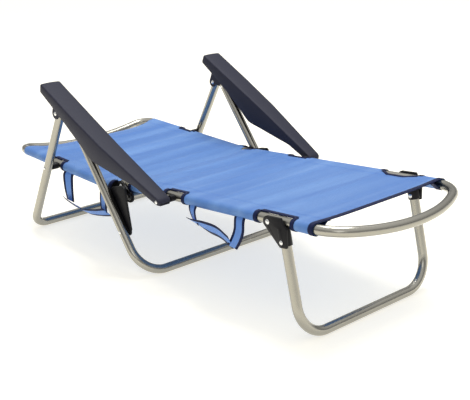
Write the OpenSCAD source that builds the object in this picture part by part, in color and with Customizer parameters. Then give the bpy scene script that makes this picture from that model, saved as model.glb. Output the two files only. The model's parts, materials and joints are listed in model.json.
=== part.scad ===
// Folding beach chair lying open as a bed: a seat frame, a reclining backrest frame, three
// U-shaped legs and two armrests. +X runs to the top of the backrest, -Y is the sitter's left,
// Z = 0 is the floor. Places are given from the backrest's hinge pins, as [along X, up Z].

/* [Tube] */
// Outside diameter of the frame tube
tube_d = 25; // [24:0.5:26]
// Wall of the frame tube
tube_wall = 1.5; // [1:0.1:2.5]

/* [Seat] */
// Half the distance between the seat rails' centre lines
seat_half = 246.5; // [246:0.5:247]
// Straight length of a seat rail ahead of the hinge
seat_rail = 505; // [495:1:515]
// Bend radius of the seat frame's front corners
seat_bend = 50; // [45:1:55]
// Slope that the front crossbar falls at, where it leaves each corner
seat_bow = 11; // [9:0.5:13]
// Rise of the seat towards the front, in degrees
seat_tilt = 1; // [0.5:0.1:1.5]
// How far the seat rails pass below the hinge pins
seat_drop = 9.7; // [9:0.1:10]

/* [Backrest] */
// Half the distance between the backrest rails' centre lines
back_half = 227; // [226.5:0.5:227.5]
// Straight length of a backrest rail above the hinge
back_rail = 712; // [705:1:720]
// Bend radius of the top loop's corners
back_bend = 97; // [90:1:105]
// Angle that each corner of the top loop turns through
back_turn = 65; // [60:1:70]
// Roll of the top loop's corners below the rails' plane
back_bow = 6; // [4:0.5:8]
// Rise of the backrest in the bed position, in degrees
back_tilt = 5.19; // [5:0.05:5.4]
// Height of the hinge pins above the floor
hinge_z = 228; // [227:0.5:229]

/* [Front leg] */
// Half the distance between the front leg's sides
front_half = 291; // [290.5:0.5:291.5]
// Lean of the front leg from upright, in degrees
front_lean = 28.37; // [28:0.05:28.7]
// Bend radius of the front leg
front_bend = 45; // [40:1:50]
// Length from the crossbar to the armrest rivet
front_len = 448.8; // [448:0.2:450]

/* [Rear leg] */
// Half the distance between the rear leg's sides
rear_half = 283; // [282.5:0.5:283.5]
// Lean of the rear leg from upright, in degrees
rear_lean = 37.87; // [37.6:0.05:38.1]
// Bend radius of the rear leg
rear_bend = 80; // [70:1:90]
// Length from the crossbar to the pin that rides in the armrest's rack
rear_len = 490; // [485:1:492]

/* [Support leg] */
// Half the distance between the support leg's sides
prop_half = 232.8; // [232.6:0.1:233]
// Lean of the support leg from upright, in degrees
prop_lean = 13.64; // [13.4:0.05:13.9]
// Bend radius of the support leg
prop_bend = 80; // [70:1:90]
// Length from the crossbar to the rivet in its brackets
prop_len = 237; // [235:0.5:239]

/* [Armrest] */
// Slope of the armrest's top in the bed position, in degrees
arm_tilt = 25.83; // [25.6:0.05:26]
// Length of the armrest from its nose to its rear pin
arm_len = 528; // [526:0.5:530]
// Depth of the side wall at its deepest
arm_belly = 71; // [66:1:74]
// Wall thickness of the moulding
arm_wall = 3; // [2.5:0.1:3.5]

/* [Straps] */
// Width of the carrying straps
strap_w = 42; // [36:1:44]
// Thickness of the carrying straps
strap_t = 2; // [1.5:0.1:2.5]

/* [Hidden] */
$fn = 48;
tube_r = tube_d / 2;
fit = 0.05;
gap = 0.5;
seam = 0.1; // stretches of one tube stop this short of each other where a roll begins

// The front crossbar of the seat frame: half its chord, its radius and where it starts
seat_chord = seat_half - seat_bend * cos(seat_bow);
seat_arc = seat_chord / sin(seat_bow);
seat_front = seat_rail + seat_bend;

// The top loop: its corners end loop_x along the rail, loop_z below it, and the arc between
// them lies in a plane that dips loop_dip degrees
loop_x = back_rail + back_bend * sin(back_turn);
loop_z = -back_bend * (1 - cos(back_turn)) * sin(back_bow);
loop_chord = back_half - back_bend * (1 - cos(back_turn)) * cos(back_bow);
loop_dip = atan2(sin(back_turn) * sin(back_bow), cos(back_turn));
loop_fwd = norm([cos(back_turn), sin(back_turn) * sin(back_bow)]);
loop_half = atan2(loop_fwd, sin(back_turn) * cos(back_bow));
loop_arc = loop_chord / sin(loop_half);
loop_sag = loop_arc * (1 - cos(loop_half));

// The hinge stands where the whole length is centred on the origin
loop_end_x = loop_x + loop_sag * cos(loop_dip);
loop_end_z = loop_z - loop_sag * sin(loop_dip);
back_reach = loop_end_x * cos(back_tilt) - loop_end_z * sin(back_tilt) + tube_r;
seat_reach = seat_front * cos(seat_tilt) + tube_r;
hinge_x = (seat_reach - back_reach) / 2;

// Places in the side view, from the hinge pin
seat_end = -30;                 // the seat rails end in the hinge plates' sockets
front_pivot = [-309.4, -4];     // the front leg's pivot in the seat rails
front_foot = [-423.5, tube_r - hinge_z];
rear_pivot = [-11, -23];        // the rear leg's brackets turn here
rear_foot = [135.1, tube_r - hinge_z];
rear_rivet = [55, -109];        // the brackets are riveted to the rear leg here
cross_at = [38, -21.9];         // the cross tube that the lowered backrest rests on
prop_pivot = [589.4, 53.5];     // the support leg's brackets turn here
prop_foot = [691.7, tube_r - hinge_z];
arm_nose = [-241, 261];         // the front upper corner of the armrests
arm_front_pin = [60.8, -61.8];  // the front leg's rivet, from the nose along the armrest
arm_rear_pin = [arm_len, -9.5];
armrest_joint = [230, 22];      // the armrests' rear pins meet the backrest rails here

// Side planes, as distances from the middle of the chair
back_in = back_half - tube_r;
back_out = back_half + tube_r;
seat_out = seat_half + tube_r;
front_in = front_half - tube_r;
front_out = front_half + tube_r;
rear_in = rear_half - tube_r;
rear_out = rear_half + tube_r;
ear_in = back_out + 1;
ear_out = ear_in + 5.5;
boss_out = rear_in - 7.3;
arm_in = 266;
arm_out = 330;
arm_end_in = 256;
arm_end_out = 295;
cross_end = ear_out + 0.5;

// ---- Placing ----

// A point given from the hinge pin
module from_hinge(p = [0, 0]) {
    translate([hinge_x + p[0], 0, hinge_z + p[1]]) children();
}

// Both sides of the chair, drawn for the right side
module both_sides() {
    children();
    mirror([0, 1, 0]) children();
}

module on_seat_rail() {
    from_hinge([0, -seat_drop]) rotate([0, seat_tilt, 0]) children();
}

module on_back_rail() {
    from_hinge() rotate([0, -back_tilt, 0]) children();
}

module on_armrest() {
    from_hinge(arm_nose) rotate([0, arm_tilt, 0]) children();
}

// ---- Tube, hole, rivet and plate ----

module tube_section(r = tube_r) {
    difference() {
        circle(r = r);
        circle(r = r - tube_wall);
    }
}

// A straight tube along +X
module straight(len) {
    rotate([0, 90, 0]) linear_extrude(len) tube_section();
}

// A bend that leaves along +X and turns towards +Y
module bend(radius, angle) {
    translate([0, radius, 0]) rotate([0, 0, -90])
        rotate_extrude(angle = angle) translate([radius, 0]) tube_section();
}

// A narrow ring inside the wall, on X, that joins two stretches of one tube where a roll begins
module inner_ring() {
    rotate([0, 90, 0]) translate([0, 0, -2]) difference() {
        cylinder(r = tube_r - tube_wall / 2, h = 4);
        translate([0, 0, -1]) cylinder(r = tube_r - tube_wall - 0.6, h = 6);
    }
}

// A bend whose plane is rolled about X, with the rings at its two ends
module rolled_bend(radius, angle, roll) {
    inner_ring();
    rotate([roll, 0, 0]) {
        bend(radius, angle);
        translate([radius * sin(angle), radius * (1 - cos(angle)), 0]) rotate([0, 0, angle])
            inner_ring();
    }
}

// A shallow arc of tube about Z, centred on +X and open towards -X
module shallow_arc(radius, half_angle) {
    turn = half_angle - atan(seam / radius);
    rotate([0, 0, -turn]) rotate_extrude(angle = 2 * turn, $fn = 720)
        translate([radius, 0]) tube_section($fn = 48);
}

// A solid cylinder along Y between two side planes
module bar(p, r, y0, y1) {
    translate([p[0], y0, p[1]]) rotate([-90, 0, 0]) cylinder(r = r, h = y1 - y0);
}

// A domed rivet along Y, its heads outside the two side planes
module rivet(p, r, y0, y1, head = 6) {
    dome = head * 0.45;
    round_r = (head * head + dome * dome) / (2 * dome);
    bar(p, r, y0 - 0.1, y1 + 0.1);
    for (side = [0, 1]) translate([p[0], side == 0 ? y0 : y1, p[1]]) mirror([0, 1 - side, 0])
        intersection() {
            bar([0, 0], head + 1, 0, dome + 1);
            translate([0, dome - round_r, 0]) sphere(r = round_r);
        }
}

// A plate of the given outline in the side view, between two side planes
module plate(y0, y1) {
    translate([0, y1, 0]) rotate([90, 0, 0]) linear_extrude(y1 - y0) children();
}

module disc(p, r) {
    translate(p) circle(r = r);
}

// A U-shaped leg: a crossbar on the floor and two sides that rise along +Z
module u_leg(half, radius, len) {
    across = half - radius;
    translate([0, -across, 0]) rotate([0, 0, 90]) straight(2 * across);
    both_sides() {
        translate([0, across, 0]) rotate([90, 0, 90]) bend(radius, 90);
        translate([0, half, radius]) rotate([0, -90, 0]) straight(len - radius);
    }
}

module leg_frame(foot, lean) {
    from_hinge(foot) rotate([0, lean, 0]) children();
}

// ---- Seat ----

module seat_frame_tube() {
    color("gainsboro") difference() {
        on_seat_rail() {
            both_sides() {
                translate([seam - seat_rail, seat_half, 0]) straight(seat_rail + seat_end - seam);
                translate([-seat_rail, seat_half, 0]) rotate([0, 0, 180])
                    rolled_bend(seat_bend, 90, -seat_bow);
            }
            translate([-seat_front, 0, seat_arc * cos(seat_bow) - seat_bend * sin(seat_bow)])
                rotate([90, 0, 90]) rotate([0, 0, -90]) shallow_arc(seat_arc, seat_bow);
        }
        both_sides() {
            from_hinge() bar(front_pivot, 3 + fit, seat_half - 20, seat_half + 20);
            on_seat_rail() bar([seat_end - 10, 0], 2 + fit, seat_half, seat_half + 20);
        }
    }
}

module hinge_cross_tube() {
    half = cross_end;
    color("gainsboro") from_hinge(cross_at) translate([0, -half, 0]) rotate([0, 0, 90])
        straight(2 * half);
}

module cross_tube_plugs() {
    color("black") both_sides() from_hinge(cross_at) difference() {
        bar([0, 0], tube_r - tube_wall - fit, cross_end - 18, cross_end - 2 - fit);
        bar([0, 0], 5 + fit, cross_end - 20, cross_end);
    }
}

module cross_tube_screws() {
    color("silver") both_sides() from_hinge(cross_at) difference() {
        union() {
            bar([0, 0], 5, cross_end - 16, cross_end);
            bar([0, 0], tube_r - tube_wall - 0.1, cross_end - 2, cross_end);
        }
        bar([0, 0], 4, cross_end - 14, cross_end + 1);
    }
}

// The moulding that joins seat rail, backrest rail, cross tube and rear leg on one side
module hinge_plate() {
    socket = 22;
    color([0.12, 0.12, 0.13]) difference() {
        union() {
            on_seat_rail() translate([seat_end - socket + 2, seat_half, 0]) rotate([0, 90, 0])
                cylinder(r = tube_r + 4, h = socket);
            from_hinge() {
                plate(ear_in, ear_out) {
                    disc([0, 0], 15);
                    disc(cross_at, tube_r + 4);
                    disc(rear_pivot, 14);
                    polygon([[-50, -24], [-50, -6], [-12, -2], [-9, 12], [0, 15], [12, 9],
                             [50, -11], [38, -38.4], [-11, -37]]);
                }
                bar(rear_pivot, 13, ear_in, boss_out);
            }
        }
        on_seat_rail() translate([seat_end - socket, seat_half, 0]) rotate([0, 90, 0])
            cylinder(r = tube_r + fit, h = socket);
        on_seat_rail() bar([seat_end - 10, 0], 2 + fit, seat_half, seat_half + 30);
        from_hinge() {
            bar([0, 0], 4 + fit, ear_in - 1, ear_out + 1);
            bar(cross_at, tube_r + fit, ear_in - 1, ear_out + 1);
            bar(rear_pivot, 3 + fit, ear_in + 2 - fit, boss_out + 1);
        }
    }
}

module right_hinge_plate() {
    hinge_plate();
}

module left_hinge_plate() {
    mirror([0, 1, 0]) hinge_plate();
}

module hinge_rivets() {
    color("silver") both_sides() from_hinge() rivet([0, 0], 4, back_in - fit, ear_out + fit, 6.5);
}

module hinge_washers() {
    color("silver") both_sides() from_hinge() difference() {
        bar([0, 0], 10, back_out + fit, ear_in - fit);
        bar([0, 0], 4 + fit, back_out - 1, ear_in + 1);
    }
}

module seat_rail_screws() {
    top = seat_half + tube_r + 4;
    color("silver") both_sides() on_seat_rail() {
        bar([seat_end - 10, 0], 2, top - 8, top + fit);
        bar([seat_end - 10, 0], 4, top + fit, top + 2);
    }
}

// A plain sheet between the rails, from x0 to x1 along them
module sheet(x0, x1, half) {
    low = 7.5;
    thick = 3;
    translate([x0, -half, low]) cube([x1 - x0, 2 * half, thick]);
}

module seat_sling() {
    plate_clear = 20;
    socket_x = -54;
    color("cornflowerblue") on_seat_rail() union() {
        sheet(8 - seat_rail, socket_x, seat_half - tube_r - gap);
        sheet(socket_x - 1, -24, seat_half - plate_clear);
    }
}

// A strap that drops from one rail, runs along under it and climbs back to it
module strap(y, front, rear, front_top, front_low, rear_low, rear_top) {
    plate(y, y + strap_t) {
        polygon([[front, front_top], [front + strap_w, front_top],
                 [front + strap_w, front_low], [front, front_low]]);
        polygon([[rear - strap_w, rear_top], [rear, rear_top],
                 [rear, rear_low], [rear - strap_w, rear_low]]);
        polygon([[front, front_low], [front + strap_w, front_low + 12],
                 [rear - strap_w, rear_low + 12], [rear, rear_low + 12],
                 [rear, rear_low], [(front + rear) / 2, (front_low + rear_low) / 2 - 10]]);
    }
}

module seat_strap() {
    color("royalblue") mirror([0, 1, 0]) from_hinge()
        strap(seat_out + 2.5, -275, -42, -14, -106, -88, -22);
}

module front_leg_spacers() {
    color([0.12, 0.12, 0.13]) both_sides() from_hinge() difference() {
        bar(front_pivot, 10, seat_out + fit, front_in - 0.3);
        bar(front_pivot, 3 + fit, seat_out - 1, front_in + 1);
    }
}

module front_leg_pivots() {
    color("silver") both_sides() from_hinge()
        rivet(front_pivot, 3, seat_half - tube_r - fit, front_out + 0.3, 5);
}

// ---- Front leg ----

module front_leg_tube() {
    color("gainsboro") difference() {
        leg_frame(front_foot, front_lean) u_leg(front_half, front_bend, front_len + 10);
        both_sides() {
            from_hinge() bar(front_pivot, 3 + fit, front_in - 1, front_out + 1);
            on_armrest() bar(arm_front_pin, 3.5 + fit, front_in - 1, front_out + 1);
        }
    }
}

// ---- Rear leg ----

module rear_leg_pivots() {
    color("silver") both_sides() from_hinge() {
        bar(rear_pivot, 3, ear_in + 2, rear_in - 3);
        bar(rear_pivot, 6, rear_in - 3.2, rear_in - 1);
    }
}

module rear_leg_tube() {
    color("gainsboro") difference() {
        leg_frame(rear_foot, -rear_lean) u_leg(rear_half, rear_bend, rear_len + 8);
        both_sides() {
            leg_frame(rear_foot, -rear_lean)
                bar([0, rear_len], 3 + fit, rear_in - 1, rear_out + 1);
            from_hinge() bar(rear_rivet, 3 + fit, rear_in - 1, rear_out + 1);
        }
    }
}

module rear_leg_caps() {
    color([0.12, 0.12, 0.13]) both_sides() leg_frame(rear_foot, -rear_lean)
        translate([0, rear_half, rear_len + 8 + fit]) {
            cylinder(r = tube_r, h = 2.5);
            translate([0, 0, -4]) cylinder(r = tube_r - tube_wall - fit, h = 4);
        }
}

module rear_leg_pins() {
    color("silver") both_sides() leg_frame(rear_foot, -rear_lean)
        bar([0, rear_len], 3, rear_in + 0.5, rear_out + 5);
}

// The plate behind the rear leg that hugs its inner face and carries its pivot
module rear_bracket() {
    thick = 6.5;
    color([0.12, 0.12, 0.13]) difference() {
        union() {
            from_hinge() plate(rear_in - gap - thick, rear_in - gap) {
                disc(rear_pivot, 14);
                disc([55, -112], 13);
                polygon([[-25, -23], [-18, -8], [-7, 2], [22, 10], [45, 13.5], [51, 9],
                         [55.5, -28], [70, -104], [65, -116], [50, -123], [-20, -34]]);
            }
            leg_frame(rear_foot, -rear_lean) intersection() {
                translate([0, rear_half, 132]) cylinder(r = tube_r + 3, h = 130);
                translate([-20, rear_in - gap - 3, 130]) cube([40, 9, 134]);
            }
        }
        leg_frame(rear_foot, -rear_lean) translate([0, rear_half, 100])
            cylinder(r = tube_r + fit, h = 200);
        from_hinge() {
            bar(rear_pivot, 3 + fit, rear_in - 10, rear_in + 1);
            bar(rear_pivot, 6 + fit, rear_in - 3.2 - fit, rear_in + 1);
            bar(rear_rivet, 3 + fit, rear_in - 10, rear_in + 1);
        }
    }
}

module right_rear_bracket() {
    rear_bracket();
}

module left_rear_bracket() {
    mirror([0, 1, 0]) rear_bracket();
}

module rear_bracket_rivets() {
    color("silver") both_sides() from_hinge()
        rivet(rear_rivet, 3, rear_in - gap - 6.5 - fit, rear_out + fit, 5);
}

// ---- Backrest ----

module backrest_frame_tube() {
    lower = -14;
    color("gainsboro") difference() {
        on_back_rail() {
            both_sides() translate([lower, -back_half, 0]) {
                straight(back_rail - lower - seam);
                translate([back_rail - lower, 0, 0])
                    rolled_bend(back_bend, back_turn, -back_bow);
            }
            translate([loop_x, 0, loop_z]) rotate([0, loop_dip, 0])
                translate([-loop_arc * cos(loop_half), 0, 0]) shallow_arc(loop_arc, loop_half);
        }
        both_sides() from_hinge() {
            bar([0, 0], 4 + fit, back_in - 1, back_out + 1);
            bar(prop_pivot, 3.5 + fit, back_in - 1, back_out + 1);
            bar(armrest_joint, 3.5 + fit, back_half, back_out + 1);
        }
    }
}

module backrest_tube_plugs() {
    lower = -14;
    color([0.12, 0.12, 0.13]) both_sides() on_back_rail() translate([lower - fit, back_half, 0])
        rotate([0, 90, 0]) {
            translate([0, 0, -2]) cylinder(r = tube_r, h = 2);
            cylinder(r = tube_r - tube_wall - fit, h = 6);
        }
}

module backrest_sling() {
    color("cornflowerblue") on_back_rail() sheet(4, 726, back_half - tube_r - gap);
}

module backrest_strap() {
    color("royalblue") mirror([0, 1, 0]) from_hinge()
        strap(back_out + 8.5, 290, 503, 32, -22, -46, 48);
}

module armrest_spacers() {
    color([0.12, 0.12, 0.13]) both_sides() from_hinge() {
        bar(armrest_joint, 9, back_out + fit, arm_end_in - 3.2);
        bar(armrest_joint, 3.5, back_half + 4, back_out + 1);
    }
}

module support_pivot_rivets() {
    color("silver") both_sides() from_hinge()
        rivet(prop_pivot, 3.5, back_in - fit, ear_out + 1 + 0.3, 6.5);
}

// ---- Support leg ----

module support_leg_tube() {
    color("gainsboro") difference() {
        leg_frame(prop_foot, -prop_lean) u_leg(prop_half, prop_bend, prop_len + 14);
        both_sides() leg_frame(prop_foot, -prop_lean)
            bar([0, prop_len], 3 + fit, prop_half - 20, prop_half + 20);
    }
}

// The moulding on top of the support leg: a cheek outside the rail and a cup over the leg's end
module support_bracket() {
    color([0.12, 0.12, 0.13]) difference() {
        union() {
            from_hinge() plate(ear_in, ear_out + 1) {
                disc(prop_pivot, 14);
                polygon([[576, 46], [579, 60], [590, 67.5], [632, 72], [640, 57], [651, 50],
                         [652, 4], [631, 1]]);
            }
            leg_frame(prop_foot, -prop_lean) translate([0, prop_half, prop_len - 10])
                cylinder(r = tube_r + 3, h = 42);
        }
        on_back_rail() translate([500, back_half, 0]) rotate([0, 90, 0])
            cylinder(r = tube_r + 0.3, h = 300);
        leg_frame(prop_foot, -prop_lean) {
            translate([0, prop_half, prop_len - 60]) cylinder(r = tube_r + fit, h = 74 + fit);
            bar([0, prop_len], 3 + fit, prop_half - 20, prop_half + 20);
        }
        from_hinge() bar(prop_pivot, 3.5 + fit, ear_in - 1, ear_out + 2);
    }
}

module right_support_bracket() {
    support_bracket();
}

module left_support_bracket() {
    mirror([0, 1, 0]) support_bracket();
}

module support_bracket_rivets() {
    color("silver") both_sides() leg_frame(prop_foot, -prop_lean)
        rivet([0, prop_len], 3, prop_half - tube_r - 3 - fit, prop_half + tube_r + 3 + fit, 5.5);
}

// ---- Armrests ----

// The armrest seen from above, drawn in by a wall
module arm_plan(inset = 0) {
    last = arm_len + (inset == 0 ? 12 : -16);
    polygon([[-8 + inset, arm_in + inset + 6], [-2 + inset, arm_in + inset],
             [300, arm_in + inset - 2], [last, arm_end_in + inset],
             [last, arm_end_out - inset], [290, arm_out - inset - 8],
             [150, arm_out - inset - 2], [-2 + inset, arm_out - inset],
             [-8 + inset, arm_out - inset - 6]]);
}

// The armrest seen from the side
module arm_side() {
    disc(arm_rear_pin, 9.5);
    polygon([[-8, -6], [-3, 0], [arm_len, 0], [arm_len, -19], [arm_len - 88, -25],
             [arm_len - 120, -34], [309, 11 - arm_belly], [275, 2 - arm_belly],
             [262, -arm_belly], [249, 2 - arm_belly], [215, 11 - arm_belly],
             [135, -43], [60, -33], [0, -26], [-8, -22]]);
}

module armrest() {
    color([0.25, 0.26, 0.32]) on_armrest() difference() {
        union() {
            difference() {
                intersection() {
                    plate(arm_end_in - 2, arm_out + 2) arm_side();
                    translate([0, 0, -100]) linear_extrude(120) arm_plan();
                }
                translate([0, 0, -100]) linear_extrude(100 - arm_wall) arm_plan(arm_wall);
            }
            // the two cheeks that hold the front leg
            plate(front_out + 0.4, front_out + 5) {
                disc(arm_front_pin, 16);
                polygon([[36, -1], [46, -68], [66, -78], [91, -76], [119, -60], [130, -1]]);
            }
            plate(front_in - 5, front_in - 0.4) {
                disc(arm_front_pin, 15);
                polygon([[40, -1], [46, -62], [75, -62], [84, -1]]);
            }
        }
        bar(arm_front_pin, 3.5 + fit, arm_in, arm_out);
        bar(arm_rear_pin, 3.5 + fit, arm_end_in - 1, arm_end_out + 3);
    }
}

module right_armrest() {
    armrest();
}

module left_armrest() {
    mirror([0, 1, 0]) armrest();
}

// The notched strip under the armrest that the rear leg's pins rest in
module position_rack() {
    notch = 46;
    color([0.12, 0.12, 0.13]) on_armrest() {
        translate([92, rear_in + 1, -14]) cube([236, 23, 14 - arm_wall]);
        for (i = [0 : 5]) translate([92 + i * notch, rear_in + 1, -26]) cube([6, 23, 14]);
    }
}

module right_position_rack() {
    position_rack();
}

module left_position_rack() {
    mirror([0, 1, 0]) position_rack();
}

module armrest_rivets() {
    color("silver") on_armrest() {
        rivet(arm_front_pin, 3.5, front_in - 5 - fit, front_out + 5 + fit, 6);
        rivet(arm_rear_pin, 3.5, arm_end_in + 0.1, arm_end_out + 2.1, 5);
    }
}

module right_armrest_rivets() {
    armrest_rivets();
}

module left_armrest_rivets() {
    mirror([0, 1, 0]) armrest_rivets();
}

// ---- Output ----

seat_frame_tube();
hinge_cross_tube();
cross_tube_plugs();
cross_tube_screws();
left_hinge_plate();
right_hinge_plate();
hinge_rivets();
hinge_washers();
seat_rail_screws();
seat_sling();
seat_strap();
front_leg_spacers();
front_leg_pivots();
front_leg_tube();
rear_leg_pivots();
rear_leg_tube();
rear_leg_caps();
rear_leg_pins();
left_rear_bracket();
right_rear_bracket();
rear_bracket_rivets();
backrest_frame_tube();
backrest_tube_plugs();
backrest_sling();
backrest_strap();
armrest_spacers();
support_pivot_rivets();
support_leg_tube();
left_support_bracket();
right_support_bracket();
support_bracket_rivets();
left_armrest();
right_armrest();
left_position_rack();
right_position_rack();
left_armrest_rivets();
right_armrest_rivets();
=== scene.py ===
import json
import math

import bmesh
import bpy
import numpy as np
from mathutils import Matrix, Vector


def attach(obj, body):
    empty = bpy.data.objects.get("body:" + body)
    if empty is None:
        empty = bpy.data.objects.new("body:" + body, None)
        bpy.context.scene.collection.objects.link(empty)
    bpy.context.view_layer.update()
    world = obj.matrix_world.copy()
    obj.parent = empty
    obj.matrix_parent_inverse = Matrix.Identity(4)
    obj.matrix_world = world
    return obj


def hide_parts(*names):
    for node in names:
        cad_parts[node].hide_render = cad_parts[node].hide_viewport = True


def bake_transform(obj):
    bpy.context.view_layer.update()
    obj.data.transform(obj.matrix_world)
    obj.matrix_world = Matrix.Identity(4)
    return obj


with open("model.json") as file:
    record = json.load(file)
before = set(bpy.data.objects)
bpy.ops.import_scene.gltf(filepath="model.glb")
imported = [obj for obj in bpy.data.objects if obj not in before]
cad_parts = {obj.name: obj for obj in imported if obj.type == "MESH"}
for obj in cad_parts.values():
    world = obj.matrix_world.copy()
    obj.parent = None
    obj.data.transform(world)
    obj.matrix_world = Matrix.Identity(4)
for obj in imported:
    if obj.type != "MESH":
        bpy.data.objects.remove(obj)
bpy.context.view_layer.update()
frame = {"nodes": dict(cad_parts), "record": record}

# ---- Camera ----
# A long lens a little above the chair, off the left side of its top end.

CAMERA_PLACE = (1.9223, -1.6364, 1.0420)
CAMERA_TURN, CAMERA_RISE, CAMERA_ROLL = (math.radians(a) for a in (48.7425, 19.233, -1.0798))

back = Vector((math.sin(CAMERA_TURN) * math.cos(CAMERA_RISE),
               -math.cos(CAMERA_TURN) * math.cos(CAMERA_RISE), math.sin(CAMERA_RISE)))
level = Vector((math.cos(CAMERA_TURN), math.sin(CAMERA_TURN), 0))
upright = back.cross(level)
right = math.cos(CAMERA_ROLL) * level + math.sin(CAMERA_ROLL) * upright
upward = math.cos(CAMERA_ROLL) * upright - math.sin(CAMERA_ROLL) * level
camera = bpy.data.objects.new("camera", bpy.data.cameras.new("camera"))
camera.data.lens, camera.data.sensor_width = 72.03, 36
camera.data.clip_start, camera.data.clip_end = 0.05, 50
camera.matrix_world = Matrix.Translation(CAMERA_PLACE) @ Matrix(
    (right, upward, back)).transposed().to_4x4()
bpy.context.collection.objects.link(camera)
bpy.context.scene.camera = camera

# ---- Frame tubes ----
# Five lengths of 25 mm aluminium tube, bent on a mandrel and anodised in a pale champagne.
# The bending and the brushing before anodising leave faint streaks and slight cloudiness.


def shader_group(name, inputs, outputs):
    """An empty shader node group with named sockets, and its input and output nodes."""
    tree = bpy.data.node_groups.new(name, "ShaderNodeTree")
    for kind, sockets in (("INPUT", inputs), ("OUTPUT", outputs)):
        for socket, form, value in sockets:
            made = tree.interface.new_socket(socket, in_out=kind, socket_type="NodeSocket" + form)
            if value is not None:
                made.default_value = value
    return tree, tree.nodes.new("NodeGroupInput"), tree.nodes.new("NodeGroupOutput")


def node(tree, kind, **values):
    """A new node with its settings."""
    made = tree.nodes.new(kind)
    for name, value in values.items():
        setattr(made, name, value)
    return made


def maths(tree, operation, a, b=None):
    """The output of a Math node on a and b, each a number or a socket."""
    made = node(tree, "ShaderNodeMath", operation=operation)
    for socket, value in zip(made.inputs, (a, b)):
        if isinstance(value, bpy.types.NodeSocket):
            tree.links.new(value, socket)
        elif value is not None:
            socket.default_value = value
    return made.outputs[0]


def mixed(tree, share, a, b):
    """A colour between a and b."""
    made = node(tree, "ShaderNodeMix", data_type="RGBA")
    for name, value in (("Factor_Float", share), ("A_Color", a), ("B_Color", b)):
        socket = next(s for s in made.inputs if s.identifier == name)
        if isinstance(value, bpy.types.NodeSocket):
            tree.links.new(value, socket)
        else:
            socket.default_value = value
    return next(s for s in made.outputs if s.identifier == "Result_Color")


def speckle():
    """Fine grain, slow cloudiness and a slightly uneven gloss on a hard surface."""
    tree, start, end = shader_group(
        "speckle",
        [("Colour", "Color", (0.5, 0.5, 0.5, 1)), ("Cloud colour", "Color", (0.5, 0.5, 0.5, 1)),
         ("Grain scale", "Float", 900), ("Cloud scale", "Float", 9), ("Bump", "Float", 0.1),
         ("Gloss from", "Float", 0.3), ("Gloss to", "Float", 0.4)],
        [("Colour", "Color", None), ("Roughness", "Float", None), ("Normal", "Vector", None)])
    place = node(tree, "ShaderNodeTexCoord")
    grain = node(tree, "ShaderNodeTexNoise")
    grain.inputs["Detail"].default_value = 3
    cloud = node(tree, "ShaderNodeTexNoise")
    cloud.inputs["Detail"].default_value = 2
    for noise, name in ((grain, "Grain scale"), (cloud, "Cloud scale")):
        tree.links.new(place.outputs["Object"], noise.inputs["Vector"])
        tree.links.new(start.outputs[name], noise.inputs["Scale"])
    tree.links.new(mixed(tree, cloud.outputs["Fac"], start.outputs["Colour"],
                         start.outputs["Cloud colour"]), end.inputs["Colour"])
    gloss = node(tree, "ShaderNodeMapRange")
    tree.links.new(cloud.outputs["Fac"], gloss.inputs["Value"])
    tree.links.new(start.outputs["Gloss from"], gloss.inputs["To Min"])
    tree.links.new(start.outputs["Gloss to"], gloss.inputs["To Max"])
    tree.links.new(gloss.outputs["Result"], end.inputs["Roughness"])
    bump = node(tree, "ShaderNodeBump")
    bump.inputs["Distance"].default_value = 0.0004
    tree.links.new(start.outputs["Bump"], bump.inputs["Strength"])
    tree.links.new(grain.outputs["Fac"], bump.inputs["Height"])
    tree.links.new(bump.outputs["Normal"], end.inputs["Normal"])
    return tree


SPECKLE = speckle()


def hard_material(name, metallic, specular=0.5, **values):
    """A hard material whose colour, gloss and grain come from the speckle group."""
    made = bpy.data.materials.new(name)
    made.use_nodes = True
    tree = made.node_tree
    surface = tree.nodes["Principled BSDF"]
    surface.inputs["Metallic"].default_value = metallic
    surface.inputs["Specular IOR Level"].default_value = specular
    group = node(tree, "ShaderNodeGroup", node_tree=SPECKLE)
    for socket, value in values.items():
        group.inputs[socket.replace("_", " ").capitalize()].default_value = value
    for out, into in (("Colour", "Base Color"), ("Roughness", "Roughness"), ("Normal", "Normal")):
        tree.links.new(group.outputs[out], surface.inputs[into])
    return made


def dress(names, material):
    """Give CAD nodes a material."""
    for name in names:
        mesh = frame["nodes"][name].data
        mesh.materials.clear()
        mesh.materials.append(material)


ANODISED = hard_material("champagne_aluminium", 1.0, colour=(0.43, 0.415, 0.365, 1),
                         cloud_colour=(0.35, 0.335, 0.29, 1), grain_scale=700, cloud_scale=6,
                         bump=0.04, gloss_from=0.20, gloss_to=0.30)
TUBES = ("seat_frame_tube", "backrest_frame_tube", "front_leg_tube", "rear_leg_tube",
         "support_leg_tube", "hinge_cross_tube")
dress(TUBES, ANODISED)

# ---- Hinge plates, brackets, spacers and plugs ----
# Injection-moulded black nylon with softened edges and a fine spark-eroded texture. The
# plates and brackets carry the pivots, and the plugs and caps close the tube ends.

BLACK_NYLON = hard_material("black_nylon", 0.0, 0.14, colour=(0.006, 0.006, 0.008, 1),
                            cloud_colour=(0.010, 0.010, 0.012, 1), grain_scale=1500,
                            cloud_scale=30, bump=0.12, gloss_from=0.26, gloss_to=0.38)


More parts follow.
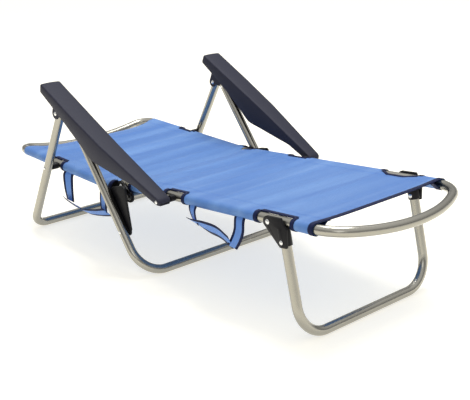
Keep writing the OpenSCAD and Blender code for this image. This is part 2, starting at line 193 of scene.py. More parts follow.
def softened(name, width, material, body):
    """A copy of a CAD node with edges rounded to a width in metres, shown in its place."""
    source = frame["nodes"][name]
    piece = bpy.data.objects.new(name + "_moulding", source.data.copy())
    bpy.context.collection.objects.link(piece)
    bpy.context.view_layer.objects.active = piece
    weld = piece.modifiers.new("weld", "WELD")
    weld.merge_threshold = 1e-5
    flat = piece.modifiers.new("flat", "DECIMATE")
    flat.decimate_type, flat.angle_limit = "DISSOLVE", math.radians(1.5)
    edge = piece.modifiers.new("edge", "BEVEL")
    edge.width, edge.segments, edge.limit_method = width, 2, "ANGLE"
    edge.angle_limit, edge.use_clamp_overlap = math.radians(40), True
    edge.miter_outer = "MITER_ARC"
    depsgraph = bpy.context.evaluated_depsgraph_get()
    mesh = bpy.data.meshes.new_from_object(piece.evaluated_get(depsgraph))
    piece.modifiers.clear()
    piece.data = mesh
    mesh.materials.clear()
    mesh.materials.append(material)
    mesh.shade_smooth()
    mesh.set_sharp_from_angle(angle=math.radians(50))
    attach(piece, body)
    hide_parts(name)


dress(("left_hinge_plate", "right_hinge_plate", "left_rear_bracket", "right_rear_bracket",
       "left_support_bracket", "right_support_bracket", "front_leg_spacers", "armrest_spacers",
       "rear_leg_caps", "backrest_tube_plugs", "cross_tube_plugs", "left_position_rack",
       "right_position_rack"), BLACK_NYLON)
for side in ("left", "right"):
    softened(side + "_hinge_plate", 0.0012, BLACK_NYLON, "seat")
    softened(side + "_rear_bracket", 0.0016, BLACK_NYLON, "rear_leg")
    softened(side + "_support_bracket", 0.0016, BLACK_NYLON, "support_leg")

# ---- Rivets, screws, pins and washers ----
# Zinc-plated steel, turned or cold-headed, bright on the domes and a little duller in the
# hollows.

ZINC = hard_material("zinc_plate", 1.0, colour=(0.86, 0.86, 0.85, 1),
                     cloud_colour=(0.74, 0.74, 0.73, 1), grain_scale=2500, cloud_scale=120,
                     bump=0.03, gloss_from=0.16, gloss_to=0.3)
dress(("cross_tube_screws", "hinge_rivets", "hinge_washers", "seat_rail_screws",
       "front_leg_pivots", "rear_leg_pivots", "rear_leg_pins", "rear_bracket_rivets",
       "support_pivot_rivets", "support_bracket_rivets", "left_armrest_rivets",
       "right_armrest_rivets"), ZINC)
for made in frame["nodes"].values():
    made.data.shade_smooth()
    made.data.set_sharp_from_angle(angle=math.radians(35))

# ---- Armrests ----
# Hollow polypropylene mouldings, open underneath, in a dark slate blue with a fine leather
# grain. The top is nearly flat, and the side walls bulge down to a belly and draw in a little.

SLATE = hard_material("slate_polypropylene", 0.0, 0.16, colour=(0.018, 0.020, 0.037, 1),
                      cloud_colour=(0.028, 0.028, 0.043, 1), grain_scale=1100, cloud_scale=14,
                      bump=0.3, gloss_from=0.50, gloss_to=0.60)
ARM_SLOPE = math.radians(25.83)
ARM_PIN = (0.0608, -0.0618)
ARM_PLACE = next(Vector(j["pos_m"]) for j in frame["record"]["behaviour"]["joints"]
                 if j["name"] == "left_armrest_swing")
# in millimetres along the armrest from its nose: depth of the side walls, and how far the
# inner and the outer wall stand from the chair's middle plane
ARM_DEPTHS = ((-8, 20), (0, 26), (60, 33), (135, 43), (215, 60), (245, 68.5), (262, 71),
              (279, 68.5), (309, 60), (408, 34), (440, 25), (528, 19), (540, 15))
ARM_DEEPEST = 0.071
ARM_LENGTH, ARM_REAR_CURVE = 540, 528
ARM_INNER = ((-8, 272), (-6, 268.5), (-2, 266), (300, 264), (534, 256.2), (540, 260))
ARM_OUTER = ((-8, 324), (-6, 327.5), (-2, 330), (150, 328), (290, 322), (534, 295.4),
             (540, 291))


def along(table, x):
    """A table's value in metres at x millimetres along the armrest."""
    return np.interp(x, *zip(*table)) / 1000


def joined(name, parts):
    """One mesh object from (points, faces) parts."""
    points, faces = [], []
    for part_points, part_faces in parts:
        faces += [[i + len(points) for i in face] for face in part_faces]
        points += [tuple(p) for p in part_points]
    mesh = bpy.data.meshes.new(name)
    mesh.from_pydata(points, [], faces)
    mesh.update()
    made = bpy.data.objects.new(name, mesh)
    bpy.context.collection.objects.link(made)
    return made


def finished(piece, *modifiers):
    """Put (kind, values) modifiers on a piece and make their result its plain mesh."""
    for kind, values in modifiers:
        modifier = piece.modifiers.new(kind.lower(), kind)
        for name, value in values.items():
            setattr(modifier, name, value)
    depsgraph = bpy.context.evaluated_depsgraph_get()
    mesh = bpy.data.meshes.new_from_object(piece.evaluated_get(depsgraph))
    piece.modifiers.clear()
    piece.data = mesh


def armrest_shell():
    """The outer skin as a loft of U-shaped sections, closed at the nose and the rear end."""
    stations = sorted({-8, -7, -6, -4, -2, *range(0, ARM_REAR_CURVE, 12), ARM_REAR_CURVE, 534,
                       538, ARM_LENGTH, 250, 256, 262, 268, 274})
    corner, crown, draft = 0.004, 0.0012, 0.009
    points, faces = [], []
    for x in stations:
        inner, outer = along(ARM_INNER, x), along(ARM_OUTER, x)
        depth = along(ARM_DEPTHS, x)
        end = 0.006 * max(0, (x - ARM_REAR_CURVE) / 12) ** 2 + 0.004 * max(0, (-x) / 8) ** 2
        lean = draft * depth / ARM_DEEPEST
        section = [(inner + 0.2 * lean, -depth), (inner + 0.1 * lean, -depth * 0.5),
                   (inner, -corner * 1.6 - end)]
        for step in (1, 2, 3):
            turn = math.pi / 2 * step / 3
            section.append((inner + corner * (1 - math.cos(turn)),
                            -corner * (1 - math.sin(turn)) - end))
        for share in (0.25, 0.5, 0.75):
            y = inner + corner + share * (outer - inner - 2 * corner)
            section.append((y, crown * math.sin(math.pi * share) - end))
        for step in (0, 1, 2, 3):
            turn = math.pi / 2 * (1 - step / 3)
            section.append((outer - corner * (1 - math.cos(turn)),
                            -corner * (1 - math.sin(turn)) - end))
        section += [(outer - 0.35 * lean, -depth * 0.5), (outer - lean, -depth)]
        points += [(x / 1000, y, z) for y, z in section]
    count = len(section)
    for row in range(len(stations) - 1):
        for column in range(count - 1):
            a = row * count + column
            faces.append([a, a + 1, a + count + 1, a + count])
    last = (len(stations) - 1) * count
    faces.append(list(range(count - 1, -1, -1)))
    faces.append([last + k for k in range(count)])
    return points, faces


def slab(outline, y0, y1):
    """A flat plate between two side planes, from an outline in the side view."""
    count = len(outline)
    points = [(x, y, z) for y in (y0, y1) for x, z in outline]
    faces = [list(range(count)), list(range(2 * count - 1, count - 1, -1))]
    faces += [[k, k + count, (k + 1) % count + count, (k + 1) % count] for k in range(count)]
    return points, faces


def lug(half_width, tip, y0, y1):
    """A cheek that hangs from the top and ends round about the front pin."""
    x0, z0 = ARM_PIN
    outline = [(x0 - half_width - 0.006, -0.003)]
    for step in range(9):
        turn = math.pi * (1 + step / 8)
        outline.append((x0 + tip * math.cos(turn), z0 + tip * math.sin(turn)))
    outline += [(x0 + half_width + 0.03, -0.05), (x0 + half_width + 0.045, -0.003)]
    return slab(outline, y0, y1)


def on_chair(points, side):
    """Move points from the armrest's own axes to the chair's left (-1) or right (1) side."""
    cos, sin = math.cos(ARM_SLOPE), math.sin(ARM_SLOPE)
    nose_x = ARM_PLACE.x - ARM_PIN[0] * cos - ARM_PIN[1] * sin
    nose_z = ARM_PLACE.z + ARM_PIN[0] * sin - ARM_PIN[1] * cos
    return [(nose_x + x * cos + z * sin, side * y, nose_z - x * sin + z * cos)
            for x, y, z in points]


def outward(mesh):
    """Turn every face outwards on a closed or nearly closed shape."""
    work = bmesh.new()
    work.from_mesh(mesh)
    bmesh.ops.remove_doubles(work, verts=work.verts, dist=1e-6)
    bmesh.ops.recalc_face_normals(work, faces=work.faces)
    work.to_mesh(mesh)
    work.free()


def top_upwards(mesh):
    """Turn an open shape's faces round if the largest one of its top looks down."""
    top = max(mesh.polygons, key=lambda face: abs(face.normal.z) * face.area)
    if top.normal.z < 0:
        mesh.flip_normals()


ARM_EDGE = ("BEVEL", {"width": 0.0008, "segments": 2, "limit_method": "ANGLE",
                      "angle_limit": math.radians(50)})
ARM_WALL = 0.003
CHEEKS = (lug(0.014, 0.016, 0.3039, 0.3085), lug(0.012, 0.015, 0.2735, 0.2781))
# cross ribs under the top, shorter behind the belly, where the walls stand closer
RIBS = [slab([(x, -0.0025), (x + 0.002, -0.0025), (x + 0.002, -0.016), (x, -0.016)],
             0.268, 0.318 if x < 0.3 else 0.298) for x in (0.14, 0.36, 0.42, 0.48)]
for side_name, side in (("left", -1), ("right", 1)):
    points, faces = armrest_shell()
    shell = joined(side_name + "_armrest_shell", [(on_chair(points, side), faces)])
    outward(shell.data)
    top_upwards(shell.data)
    finished(shell, ("SOLIDIFY", {"thickness": ARM_WALL, "offset": -1,
                                  "use_even_offset": False}), ARM_EDGE)
    shell.data.materials.append(SLATE)
    shell.data.shade_smooth()
    shell.data.set_sharp_from_angle(angle=math.radians(32))
    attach(shell, side_name + "_armrest")
    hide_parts(side_name + "_armrest")
    lugs = joined(side_name + "_armrest_lugs",
                  [(on_chair(p, side), f) for p, f in (*CHEEKS, *RIBS)])
    outward(lugs.data)
    finished(lugs, ARM_EDGE)
    lugs.data.materials.append(SLATE)
    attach(lugs, side_name + "_armrest")

# ---- Sling ----
# One panel of coated polyester mesh. Its long edges are folded into sleeves that wrap the
# rails, cut away at the pivots, and its ends and cut-outs are bound in navy tape.

HINGE = next(Vector(j["pos_m"]) for j in frame["record"]["behaviour"]["joints"]
             if j["name"] == "backrest_recline")
SEAT_SLOPE, BACK_SLOPE = math.radians(1), math.radians(5.19)
# half the rails' spacing on seat and backrest, and the seat rails' drop below the hinge pin
SEAT_HALF, BACK_HALF, SEAT_DROP = 0.2465, 0.227, 0.0097
SLEEVE = 0.0139  # from a rail's centre line to the outside of the cloth round it
CLOTH = 0.001
# how far the hems reach in from the rails, and how far they lie below the cloth
HEM_SEAM, HEM_EDGE, HEM_DROP = 0.036, 0.046, 0.0022
CUT_INSET = 0.006  # from a rail's centre line in to the cloth's edge at a cut-out
SAG, HINGE_DIP = 0.0035, 0.0045
# stretches of the rails, in metres from the hinge and towards the backrest's top, where the
# sleeves are cut away
SEAT_CUTS = ((-0.343, -0.288), (-0.026, 0.0))
BACK_CUTS = ((0.0, 0.030), (0.196, 0.264), (0.548, 0.660))
SLING_FRONT, SLING_END = -0.503, 0.729


def weave():
    """A plain weave of round threads on the UV map, which is in metres."""
    tree, start, end = shader_group(
        "weave",
        [("Thread colour", "Color", (0.2, 0.4, 0.8, 1)),
         ("Gap colour", "Color", (0.1, 0.2, 0.5, 1)),
         ("Worn colour", "Color", (0.3, 0.5, 0.9, 1)), ("Pitch", "Float", 0.0016),
         ("Bump", "Float", 0.3), ("Unevenness", "Float", 5), ("Crease", "Vector", (1, 1, 1))],
        [("Colour", "Color", None), ("Roughness", "Float", None), ("Normal", "Vector", None)])
    chart = node(tree, "ShaderNodeUVMap", uv_map="cloth")
    split = node(tree, "ShaderNodeSeparateXYZ")
    tree.links.new(chart.outputs["UV"], split.inputs[0])
    waves = []
    for axis in (0, 1):
        turn = maths(tree, "MULTIPLY", maths(tree, "DIVIDE", split.outputs[axis],
                                             start.outputs["Pitch"]), math.pi)
        waves.append(maths(tree, "SINE", turn))
    over = maths(tree, "GREATER_THAN", maths(tree, "MULTIPLY", *waves), 0.0)
    warp, weft = (maths(tree, "ABSOLUTE", wave) for wave in waves)
    height = maths(tree, "ADD", maths(tree, "MULTIPLY", over, warp),
                   maths(tree, "MULTIPLY", maths(tree, "SUBTRACT", 1.0, over), weft))
    # A slow noise, stretched by Crease, mixes the threads towards the worn colour. On the blue
    # mesh its long streaks are a painted sheen standing in for the highlights on the folds; on
    # the tape and the webbing it is only uneven tone.
    slow = node(tree, "ShaderNodeTexNoise")
    slow.inputs["Detail"].default_value = 4
    crease = node(tree, "ShaderNodeVectorMath", operation="MULTIPLY")
    tree.links.new(chart.outputs["UV"], crease.inputs[0])
    tree.links.new(start.outputs["Crease"], crease.inputs[1])
    tree.links.new(crease.outputs[0], slow.inputs["Vector"])
    tree.links.new(start.outputs["Unevenness"], slow.inputs["Scale"])
    worn = node(tree, "ShaderNodeMapRange")
    worn.inputs["From Min"].default_value, worn.inputs["From Max"].default_value = 0.42, 0.68
    tree.links.new(slow.outputs["Fac"], worn.inputs["Value"])
    thread = mixed(tree, worn.outputs["Result"], start.outputs["Thread colour"],
                   start.outputs["Worn colour"])
    # The threads' low parts, in the hollows between them, are mixed towards the gap colour: a
    # painted shade.
    tree.links.new(mixed(tree, maths(tree, "POWER", height, 0.6), start.outputs["Gap colour"],
                         thread), end.inputs["Colour"])
    gloss = node(tree, "ShaderNodeMapRange")
    gloss.inputs["To Min"].default_value, gloss.inputs["To Max"].default_value = 0.66, 0.46
    tree.links.new(height, gloss.inputs["Value"])
    tree.links.new(gloss.outputs["Result"], end.inputs["Roughness"])
    bump = node(tree, "ShaderNodeBump")
    bump.inputs["Distance"].default_value = 0.0003
    tree.links.new(start.outputs["Bump"], bump.inputs["Strength"])
    tree.links.new(height, bump.inputs["Height"])
    tree.links.new(bump.outputs["Normal"], end.inputs["Normal"])
    return tree


WEAVE = weave()


def cloth_material(name, sheen, specular=0.4, **values):
    """A woven material whose colour, gloss and threads come from the weave group."""
    made = bpy.data.materials.new(name)
    made.use_nodes = True
    tree = made.node_tree
    surface = tree.nodes["Principled BSDF"]
    surface.inputs["Specular IOR Level"].default_value = specular
    surface.inputs["Sheen Weight"].default_value = sheen
    surface.inputs["Sheen Roughness"].default_value = 0.5
    group = node(tree, "ShaderNodeGroup", node_tree=WEAVE)
    for socket, value in values.items():
        group.inputs[socket.replace("_", " ").capitalize()].default_value = value
    for out, into in (("Colour", "Base Color"), ("Roughness", "Roughness"), ("Normal", "Normal")):
        tree.links.new(group.outputs[out], surface.inputs[into])
    return made


# Its worn colour, in lighter streaks along the creases, is a painted sheen on the folds.
# The mesh's gap colour is a painted shade in the hollows between the threads.
BLUE_MESH = cloth_material("blue_mesh", 0.1, thread_colour=(0.070, 0.195, 0.51, 1),
                           worn_colour=(0.150, 0.305, 0.62, 1), gap_colour=(0.045, 0.13, 0.38, 1),
                           pitch=0.0017, bump=0.5, unevenness=16, crease=(0.09, 1, 1))
# As on the mesh, the tape's gap colour is a painted shade between the threads.
NAVY_TAPE = cloth_material("navy_tape", 0.0, 0.12, thread_colour=(0.008, 0.014, 0.060, 1),
                           worn_colour=(0.012, 0.02, 0.072, 1),
                           gap_colour=(0.003, 0.005, 0.025, 1), pitch=0.0011, bump=0.6,
                           unevenness=20)


def rail(s):
    """The rails' side view at s metres from the hinge: place, upward normal, half distance."""
    seat_x, seat_z = math.cos(SEAT_SLOPE), -math.sin(SEAT_SLOPE)
    back_x, back_z = math.cos(BACK_SLOPE), math.sin(BACK_SLOPE)
    share = min(1, max(0, (s + 0.045) / 0.07))
    share = share * share * (3 - 2 * share)
    seat = (s * seat_x, s * seat_z - SEAT_DROP, -seat_z, seat_x, SEAT_HALF)
    rest = (s * back_x, s * back_z, -back_z, back_x, BACK_HALF)
    x, z, nx, nz, half = ((1 - share) * a + share * b for a, b in zip(seat, rest))
    return HINGE.x + x, HINGE.z + z, nx, nz, half


# creases across the cloth: place along the rails, height, width and slant
FOLDS = ((-0.415, 0.00286, 0.009, 0.02), (-0.352, -0.00312, 0.012, 0.008),
         (-0.262, 0.00416, 0.00825, -0.02), (-0.232, -0.0026, 0.015, -0.012),
         (-0.155, 0.0026, 0.0105, 0.012), (-0.085, 0.00312, 0.009, -0.008),
         (0.062, 0.00364, 0.009, 0.008), (0.105, -0.0026, 0.0135, 0.008),
         (0.172, 0.00338, 0.00975, -0.012), (0.248, 0.00286, 0.01125, 0.02),
         (0.287, -0.00338, 0.0135, 0.012), (0.372, 0.00312, 0.009, -0.016),
         (0.468, 0.00234, 0.012, 0.012), (0.560, 0.0026, 0.0105, -0.008),
         (0.655, -0.00208, 0.015, 0.008))


def lie(s, y, half):
    """How far the cloth between the rails stands above its plain level."""
    inside = max(0.0, 1 - (abs(y) / (half - SLEEVE)) ** 4)
    rise = -SAG * inside
    for place, height, width, slant in FOLDS:
        away = (s - place - slant * y) / width
        rise += height * inside * math.exp(-away * away)
    rise -= HINGE_DIP * inside * math.exp(-(s / 0.022) ** 2)
    return rise


def notch(s, side):
    """How far inside the rail's centre line the cloth ends where its sleeve is cut away."""
    slack = min(s - BACK_CUTS[2][0], BACK_CUTS[2][1] - s) / 0.03 if side > 0 else 0
    return CUT_INSET + 0.020 * min(1, max(0, slack))


def over_socket(s):
    """How much wider the sleeve is where it is drawn over the hinge plate's socket."""
    return 0.0036 * min(1, max(0, (s + 0.064) / 0.010)) * min(1, max(0, (-0.020 - s) / 0.006))


def profile(half, lift, inset=CUT_INSET):
    """The cloth's cross-section for y >= 0: (y, height over the rails' plane, in a sleeve)."""
    edge = half - inset
    run = [(edge * k / 14, lift, False) for k in range(15)]
    run += [(edge + (half - edge) * k / 3, lift, True) for k in (1, 2)]
    for k in range(15):
        turn = math.radians(90 - 225 * k / 14)
        run.append((half + lift * math.cos(turn), lift * math.sin(turn), True))
    y0, z0 = run[-1][:2]
    for k in (1, 2, 3):
        run.append((y0 + (half - HEM_SEAM - y0) * k / 3,
                    z0 + (lift - HEM_DROP - z0) * k / 3, True))
    run.append((half - HEM_EDGE, lift - HEM_DROP, True))
    return run


def cloth_strip(stations, lift, keep):
    """A grid of cloth over the rails. keep(s, in_sleeve) says which cells stay."""
    front_curve, front_draw, front_dip = -0.42, 0.020, 0.008
    rows, sleeves, chart = [], [], []
    for s in stations:
        x, z, nx, nz, half = rail(s)
        wide = lift + over_socket(s)
        full = [(-y, h, sleeve) for y, h, sleeve in reversed(profile(half, wide, notch(s, -1)))]
        full += profile(half, wide, notch(s, 1))[1:]
        along_run, row, uv = 0.0, [], []
        for k, (y, h, _) in enumerate(full):
            if k:
                along_run += math.hypot(y - full[k - 1][0], h - full[k - 1][1])
            shift = 0.0
            if abs(y) < half - SLEEVE:
                h += lie(s, y, half) - (wide - lift) * (1 - (y / (half - SLEEVE)) ** 8)
                draw = max(0.0, 1 - (abs(y) / (half - SLEEVE)) ** 5)
                fade = max(0.0, (s - front_curve) / (SLING_FRONT - front_curve)) ** 2
                shift = front_draw * draw * fade
                h -= front_dip * draw * fade
            row.append((x + shift * nz + h * nx, y, z - shift * nx + h * nz))
            uv.append((along_run, s))
        rows.append(row)
        chart.append(uv)
        sleeves.append([sleeve for _, _, sleeve in full])
    count = len(rows[0])
    points = [p for row in rows for p in row]
    flat_chart = [p for uv in chart for p in uv]
    faces = []
    for i in range(len(rows) - 1):
        middle = (stations[i] + stations[i + 1]) / 2
        for k in range(count - 1):
            if keep(middle, sleeves[i][k] or sleeves[i][k + 1]):
                a = i * count + k
                faces.append([a, a + count, a + count + 1, a + 1])
    return points, faces, flat_chart


def cloth_piece(name, strips, material):
    """One cloth object from strips, with its UV map in metres; unused points are dropped."""
    points, faces, chart = [], [], []
    for strip_points, strip_faces, strip_chart in strips:
        used = sorted({i for face in strip_faces for i in face})
        index = {old: len(points) + new for new, old in enumerate(used)}
        points += [strip_points[i] for i in used]
        chart += [strip_chart[i] for i in used]
        faces += [[index[i] for i in face] for face in strip_faces]
    mesh = bpy.data.meshes.new(name)
    mesh.from_pydata(points, [], faces)
    layer = mesh.uv_layers.new(name="cloth")
    for loop in mesh.loops:
        layer.data[loop.index].uv = chart[loop.vertex_index]
    mesh.update()
    made = bpy.data.objects.new(name, mesh)
    bpy.context.collection.objects.link(made)
    mesh.materials.append(material)
    mesh.shade_smooth()
    return made


def cut_away(s):
    """Whether the sleeves are cut away at s."""
    return any(a < s < b for a, b in SEAT_CUTS + BACK_CUTS)


def spaced(a, b, step):
    """Evenly spaced values from a to b, about a step apart."""
    count = max(1, round((b - a) / step))
    return [a + (b - a) * k / count for k in range(count + 1)]


edges = sorted({SLING_FRONT, SLING_END, *(v for cut in SEAT_CUTS + BACK_CUTS for v in cut)})
stations = sorted({round(v, 5) for a, b in zip(edges, edges[1:]) for v in spaced(a, b, 0.007)})
sling = cloth_piece("sling_cloth", [cloth_strip(
    stations, SLEEVE, lambda s, in_sleeve: not (in_sleeve and cut_away(s)))], BLUE_MESH)
top_upwards(sling.data)
half_section = profile(SEAT_HALF, SLEEVE)
finished(sling, ("SOLIDIFY", {"thickness": CLOTH, "offset": -1, "use_even_offset": False}))

# The tape folds over every raw edge: rings round the sleeves' ends, strips along the
# cut-outs, and one along the end of the backrest.


def tape(a, b, across=False):
    """A band of tape from a to b along the rails: round the sleeves, or right across."""
    return cloth_strip(spaced(a, b, 0.0035), SLEEVE + 0.0005,
                       lambda s, in_sleeve: in_sleeve or across)


TAPE, TAPE_THICKNESS = 0.011, 0.0019  # the width is that on one side of a cloth edge
bands = [tape(SLING_END - 0.013, SLING_END + 0.001, True)]
for a, b in SEAT_CUTS + BACK_CUTS:
    if a > SLING_FRONT and a != 0.0:
        bands.append(tape(a - TAPE, a + 0.0006))
    if b != 0.0:
        bands.append(tape(b - 0.0006, b + TAPE))
binding = cloth_piece("sling_binding", bands, NAVY_TAPE)
finished(binding, ("SOLIDIFY", {"thickness": TAPE_THICKNESS, "offset": 0.0}))


def edge_strip(a, b):
    """Tape folded over the straight edge of a cut-out, on both sides of the chair."""
    ring, reach, bulge = 9, 0.0095, 0.0016
    tails = (0, ring - 1)
    strips = []
    for side in (-1, 1):
        points, chart = [], []
        steps = spaced(a - 0.002, b + 0.002, 0.006)
        for s in steps:
            x, z, nx, nz, half = rail(s)
            edge = half - notch(s, side)
            for k in range(ring):
                turn = math.pi * (k / (ring - 1) - 0.5)
                inward, thinning = (reach, 0.8) if k in tails else (0.0, 1)
                out = bulge * math.cos(turn) - inward
                rise = SLEEVE - CLOTH / 2 + TAPE_THICKNESS * math.sin(turn) * thinning
                rise += lie(s, edge - inward, half)
                points.append((x + rise * nx, side * (edge + out), z + rise * nz))
                chart.append((k * 0.002, s))
        faces = []
        for i in range(len(steps) - 1):
            for k in range(ring):
                a0, a1 = i * ring + k, i * ring + (k + 1) % ring
                faces.append([a0, a1, a1 + ring, a0 + ring])
        faces += [list(range(ring)), list(range(len(points) - 1, len(points) - ring - 1, -1))]
        strips.append((points, faces, chart))
    return strips


HINGE_CUT = (SEAT_CUTS[1][0], BACK_CUTS[0][1])
edging = cloth_piece("sling_edging", [strip for a, b in (SEAT_CUTS[0], HINGE_CUT, BACK_CUTS[1],
                                                         BACK_CUTS[2])
                                      for strip in edge_strip(a, b)], NAVY_TAPE)
outward(edging.data)

# Lockstitch in blue thread runs beside each sleeve and along the hems.


def stitch_tree():
    """Geometry Nodes: a row of stitches along each line of the mesh."""
    tree = bpy.data.node_groups.new("stitch_rows", "GeometryNodeTree")
    face = tree.interface
    for name, form, value in (("Lines", "Geometry", None), ("Pitch", "Float", 0.005),
                              ("Length", "Float", 0.0034), ("Thickness", "Float", 0.0007),
                              ("Thread", "Material", None)):
        made = face.new_socket(name, in_out="INPUT", socket_type="NodeSocket" + form)
        if value is not None:
            made.default_value = value
    face.new_socket("Stitches", in_out="OUTPUT", socket_type="NodeSocketGeometry")
    start, end = tree.nodes.new("NodeGroupInput"), tree.nodes.new("NodeGroupOutput")
    line = tree.nodes.new("GeometryNodeMeshToCurve")
    dots = tree.nodes.new("GeometryNodeCurveToPoints")
    dots.mode = "LENGTH"
    bead = tree.nodes.new("GeometryNodeMeshUVSphere")
    bead.inputs["Segments"].default_value, bead.inputs["Rings"].default_value = 6, 4
    bead.inputs["Radius"].default_value = 0.5
    size = tree.nodes.new("ShaderNodeCombineXYZ")
    place = tree.nodes.new("GeometryNodeInstanceOnPoints")
    real = tree.nodes.new("GeometryNodeRealizeInstances")
    paint = tree.nodes.new("GeometryNodeSetMaterial")
    link = tree.links.new
    link(start.outputs["Lines"], line.inputs["Mesh"])
    link(line.outputs["Curve"], dots.inputs["Curve"])
    link(start.outputs["Pitch"], dots.inputs["Length"])
    for axis, name in zip("XYZ", ("Thickness", "Thickness", "Length")):
        link(start.outputs[name], size.inputs[axis])
    link(dots.outputs["Points"], place.inputs["Points"])
    link(dots.outputs["Rotation"], place.inputs["Rotation"])
    link(bead.outputs["Mesh"], place.inputs["Instance"])
    link(size.outputs["Vector"], place.inputs["Scale"])
    link(place.outputs["Instances"], real.inputs["Geometry"])
    link(real.outputs["Geometry"], paint.inputs["Geometry"])
    link(start.outputs["Thread"], paint.inputs["Material"])
    link(paint.outputs["Geometry"], end.inputs["Stitches"])
    return tree


STITCH_TREE = stitch_tree()


def stitched(name, lines, material, pitch, length):
    """Rows of stitches along lines of points, as one plain mesh."""
    mesh = bpy.data.meshes.new(name)
    points, segments = [], []
    for line in lines:
        segments += [(len(points) + k, len(points) + k + 1) for k in range(len(line) - 1)]
        points += line
    mesh.from_pydata(points, segments, [])
    made = bpy.data.objects.new(name, mesh)
    bpy.context.collection.objects.link(made)
    rows = made.modifiers.new("rows", "NODES")
    rows.node_group = STITCH_TREE
    sockets = {item.name: item.identifier for item in STITCH_TREE.interface.items_tree
               if item.in_out == "INPUT"}
    rows[sockets["Pitch"]], rows[sockets["Length"]] = pitch, length
    rows[sockets["Thread"]] = material
    depsgraph = bpy.context.evaluated_depsgraph_get()
    result = bpy.data.meshes.new_from_object(made.evaluated_get(depsgraph))
    made.modifiers.clear()
    made.data = result
    result.shade_smooth()
    return made


def on_cloth(s, y):
    """A place just above the cloth, s along the rails and y from the middle."""
    x, z, nx, nz, half = rail(s)
    rise = SLEEVE + lie(s, y, half) + 0.0002
    return (x + rise * nx, y, z + rise * nz)


THREAD = hard_material("blue_thread", 0.0, colour=(0.10, 0.24, 0.62, 1),
                       cloud_colour=(0.14, 0.30, 0.70, 1), grain_scale=3000, cloud_scale=200,
                       bump=0.2, gloss_from=0.5, gloss_to=0.6)
seams = []
for inset in (HEM_SEAM, 0.042):
    for side in (-1, 1):
        seams.append([on_cloth(s, side * (rail(s)[4] - inset)) for s in
                      spaced(SLING_FRONT + 0.03, SLING_END - 0.02, 0.012)])
stitches = stitched("sling_stitches", seams, THREAD, pitch=0.005, length=0.0036)

# the cloth's pieces, shaped to turn over the hinge, stay fixed in place and are attached to
# neither the seat nor the backrest
for piece in (sling, binding, edging, stitches):
    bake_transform(piece)
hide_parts("seat_sling", "backrest_sling")

# ---- Carrying straps ----
# Two lengths of blue webbing bound in navy, sewn under the left sleeves. Each drops down,
# is folded over at a corner, runs along slack and twisted, and climbs back to the rail.

STRAP = 0.042
# Here too the gap colour is a painted shade between the threads.
BLUE_WEB = cloth_material("blue_webbing", 0.1, thread_colour=(0.10, 0.26, 0.70, 1),
                          worn_colour=(0.13, 0.30, 0.74, 1), gap_colour=(0.05, 0.14, 0.42, 1),
                          pitch=0.0022, bump=0.8, unevenness=14)


def smooth_run(knots, count):
    """Points on a Catmull-Rom curve through knots, each a (place, width direction) pair."""
    values = [np.array([*place, *width], float) for place, width in knots]
    values = [2 * values[0] - values[1], *values, 2 * values[-1] - values[-2]]
    run = []
    for k in range(len(values) - 3):
        a, b, c, d = values[k:k + 4]
        for step in range(count + (k == len(values) - 4)):
            t = step / count
            run.append(0.5 * (2 * b + (c - a) * t + (2 * a - 5 * b + 4 * c - d) * t * t
                              + (3 * b - a - 3 * c + d) * t ** 3))
    return run


def ribbon(knots):
    """Webbing along knots: its points, faces, chart, which faces are bound, and length."""
    across = (-0.5, -0.285, -0.28, -0.14, 0.0, 0.14, 0.28, 0.285, 0.5)
    run = smooth_run(knots, 8)
    points, chart, length = [], [], 0.0
    for k, value in enumerate(run):
        place, width = Vector(value[:3]), Vector(value[3:]).normalized()
        if k:
            length += (place - Vector(run[k - 1][:3])).length
        for share in across:
            points.append(tuple(place + width * share * STRAP))
            chart.append((share * STRAP, length))
    count = len(across)
    faces = [[i * count + k, i * count + k + 1, (i + 1) * count + k + 1, (i + 1) * count + k]
             for i in range(len(run) - 1) for k in range(count - 1)]
    bound = [k % (count - 1) in (0, count - 2) for k in range(len(faces))]
    return points, faces, chart, bound, length


def strap(name, runs, node_name, body):
    """A carrying strap on a body, in the place of a CAD node.

    Each of its runs is a list of knots: a place and the direction of the webbing's width.
    """
    strips = [ribbon(knots) for knots in runs]
    piece = cloth_piece(name, [strip[:3] for strip in strips], BLUE_WEB)
    piece.data.materials.append(NAVY_TAPE)
    for face, bound in zip(piece.data.polygons, [b for strip in strips for b in strip[3]]):
        face.material_index = int(bound)
    finished(piece, ("SOLIDIFY", {"thickness": 0.0014, "offset": 0.0}))
    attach(piece, body)
    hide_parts(node_name)


def from_hinge(x, y, z):
    """A place in millimetres from the hinge's middle."""
    return (HINGE.x + x / 1000, y / 1000, HINGE.z + z / 1000)


strap("seat_strap_webbing", [
    [(from_hinge(-252, -252, -13), (0.98, 0.19, 0)),
     (from_hinge(-251, -260, -25), (0.98, 0.2, 0)),
     (from_hinge(-246, -264, -62), (0.99, 0.1, 0)),
     (from_hinge(-241, -264, -98), (1, -0.05, 0))],
    [(from_hinge(-258, -265.5, -99), (0.1, -0.7, 0.7)),
     (from_hinge(-226, -266, -103), (0.05, -0.80, 0.60)),
     (from_hinge(-162, -266, -110), (0, -0.80, 0.60)),
     (from_hinge(-96, -266, -98), (0, -0.75, 0.66)),
     (from_hinge(-45, -266, -84), (0, -0.70, 0.71))],
    [(from_hinge(-66, -252, -16), (0.99, -0.12, 0)),
     (from_hinge(-66, -260, -28), (0.99, -0.12, 0)),
     (from_hinge(-65, -264, -58), (0.99, -0.15, 0)),
     (from_hinge(-64, -264, -86), (0.985, -0.17, 0))]], "seat_strap", "seat")
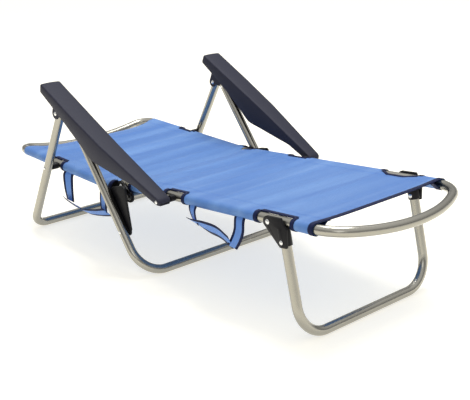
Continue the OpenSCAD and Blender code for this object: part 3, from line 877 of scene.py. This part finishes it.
strap("backrest_strap_webbing", [
    [(from_hinge(303, -234, 20), (0.968, -0.25, 0)),
     (from_hinge(309, -243, 11), (0.96, -0.28, 0)),
     (from_hinge(322, -250, -2), (0.945, -0.32, 0)),
     (from_hinge(334, -252, -17), (0.93, -0.366, 0))],
    [(from_hinge(316, -253, -14), (0.1, -0.8, 0.6)),
     (from_hinge(336, -254, -15), (0.0, -0.75, 0.66)),
     (from_hinge(381, -254, -15.5), (0, -0.5, 0.86)),
     (from_hinge(425, -254, -17), (0, -0.42, 0.907)),
     (from_hinge(466, -253, -32), (0, -0.42, 0.907))],
    [(from_hinge(482, -234, 36), (0.99, -0.12, 0)),
     (from_hinge(488, -243, 26), (0.99, -0.12, 0)),
     (from_hinge(495, -251, 6), (0.99, -0.12, 0)),
     (from_hinge(487, -253, -18), (0.99, -0.12, 0)),
     (from_hinge(472, -253, -42), (0.99, -0.12, 0))]], "backrest_strap", "backrest")

# ---- Floor and light ----
# A white sweep that glows a little, so that shadows stay pale, under one broad soft light
# with a weaker one beside the camera. The sky darkens downwards and ends in a bright low haze.

FLOOR_REACH, FLOOR_DROP = 30, -0.0004
floor_mesh = bpy.data.meshes.new("floor")
floor_mesh.from_pydata([(x * FLOOR_REACH, y * FLOOR_REACH, FLOOR_DROP)
                        for x, y in ((-1, -1), (1, -1), (1, 1), (-1, 1))], [], [[0, 1, 2, 3]])
floor = bpy.data.objects.new("floor", floor_mesh)
bpy.context.collection.objects.link(floor)
pale = bpy.data.materials.new("pale_floor")
pale.use_nodes = True
for socket, value in (("Base Color", (0.64, 0.61, 0.52, 1)), ("Roughness", 1.0),
                      ("Specular IOR Level", 0.0), ("Emission Color", (1, 0.988, 0.95, 1)),
                      ("Emission Strength", 0.61)):
    pale.node_tree.nodes["Principled BSDF"].inputs[socket].default_value = value
floor_mesh.materials.append(pale)

world = bpy.data.worlds.new("studio")
world.use_nodes = True
sky = world.node_tree
direction = node(sky, "ShaderNodeTexCoord")
axes = node(sky, "ShaderNodeSeparateXYZ")
sky.links.new(direction.outputs["Generated"], axes.inputs[0])


def sky_ramp(low, high, low_strength, high_strength):
    """A brightness that changes between two heights of the sky, 0 the horizon and 1 overhead."""
    ramp = node(sky, "ShaderNodeMapRange")
    for socket, value in (("From Min", low), ("From Max", high), ("To Min", low_strength),
                          ("To Max", high_strength)):
        ramp.inputs[socket].default_value = value
    sky.links.new(axes.outputs["Z"], ramp.inputs["Value"])
    return ramp.outputs["Result"]


sky.links.new(maths(sky, "MAXIMUM", sky_ramp(0.05, 0.75, 0.08, 0.90),
                    sky_ramp(0.09, 0.13, 1.0, 0.0)),
              sky.nodes["Background"].inputs["Strength"])
sky.nodes["Background"].inputs["Color"].default_value = (1.0, 1.0, 1.0, 1)
bpy.context.scene.world = world
bpy.context.scene.view_settings.view_transform = "Standard"


def soft_light(name, place, aim, size, power):
    """A round area light, its size in metres and its power in watts."""
    light = bpy.data.lights.new(name, "AREA")
    light.shape, light.size, light.energy = "DISK", size, power
    made = bpy.data.objects.new(name, light)
    made.location = place
    made.rotation_euler = (Vector(aim) - Vector(place)).to_track_quat("-Z", "Y").to_euler()
    bpy.context.collection.objects.link(made)


soft_light("overhead", (-0.4, 0.6, 3.4), (0, 0, 0.2), 1.7, 82)
soft_light("front_fill", (2.6, -2.6, 1.9), (0, 0, 0.2), 1.6, 9)
